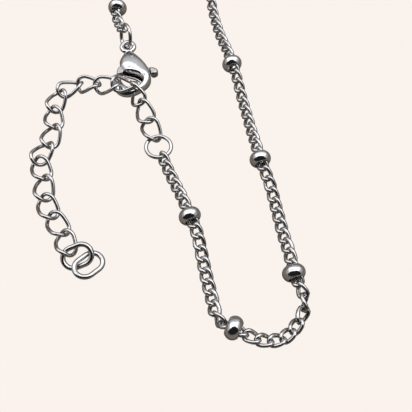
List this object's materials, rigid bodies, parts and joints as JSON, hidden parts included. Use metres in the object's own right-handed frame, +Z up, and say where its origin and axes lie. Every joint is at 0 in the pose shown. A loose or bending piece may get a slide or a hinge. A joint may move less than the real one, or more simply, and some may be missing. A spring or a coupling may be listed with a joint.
{
  "type": "beaded curb chain necklace",
  "caption": "Fine twisted curb chain necklace with spaced rondelle beads, closed by a lobster clasp hooked into an extender chain that ends in two oval rings.",
  "frame": {"origin": "centre of the bounding box's bottom, on the table the necklace lies on", "axes": "+Y from the front of the necklace towards its neck loop, +X across it, +Z up from the table"},
  "size_m": [0.0686, 0.1832, 0.005],
  "materials": {
    "chain_front": "polished",
    "chain_back": "polished",
    "chain_clasp_end": "polished",
    "round_ring": "polished",
    "end_ring": "polished",
    "clasp_body": "polished",
    "clasp_lever": "polished",
    "clasp_rivet": "satin",
    "bead": "mirror polished",
    "extender_link": "polished"
  },
  "bodies": {
    "necklace": {"bead_01": "bead", "bead_02": "bead", "bead_03": "bead", "bead_04": "bead", "bead_05": "bead", "bead_06": "bead", "bead_07": "bead", "bead_08": "bead", "bead_09": "bead", "bead_10": "bead", "bead_11": "bead", "bead_12": "bead", "bead_13": "bead", "bead_14": "bead", "bead_15": "bead", "bead_16": "bead", "bead_17": "bead", "bead_18": "bead", "extender_link_01": "extender_link", "extender_link_02": "extender_link", "extender_link_03": "extender_link", "extender_link_04": "extender_link", "extender_link_05": "extender_link", "extender_link_06": "extender_link", "extender_link_07": "extender_link", "extender_link_08": "extender_link", "extender_link_09": "extender_link", "extender_link_10": "extender_link", "extender_link_11": "extender_link", "extender_link_12": "extender_link", "extender_link_13": "extender_link", "extender_link_14": "extender_link", "extender_link_15": "extender_link", "extender_link_16": "extender_link", "chain_front": "chain_front", "chain_back": "chain_back", "chain_clasp_end": "chain_clasp_end", "extender_ring": "round_ring", "clasp_ring": "round_ring", "end_ring_1": "end_ring", "end_ring_2": "end_ring", "clasp_body": "clasp_body", "clasp_rivet": "clasp_rivet"},
    "lever": {"clasp_lever": "clasp_lever"}
  },
  "joints": [
    {"name": "clasp_lever_pivot", "type": "hinge", "parent": "necklace", "child": "lever", "pos_m": [0.00233, -0.03718, 0.00146], "axis": [0, 0, 1], "range_deg": [0, 22], "stiffness_Nm_per_rad": 0.01}
  ]
}
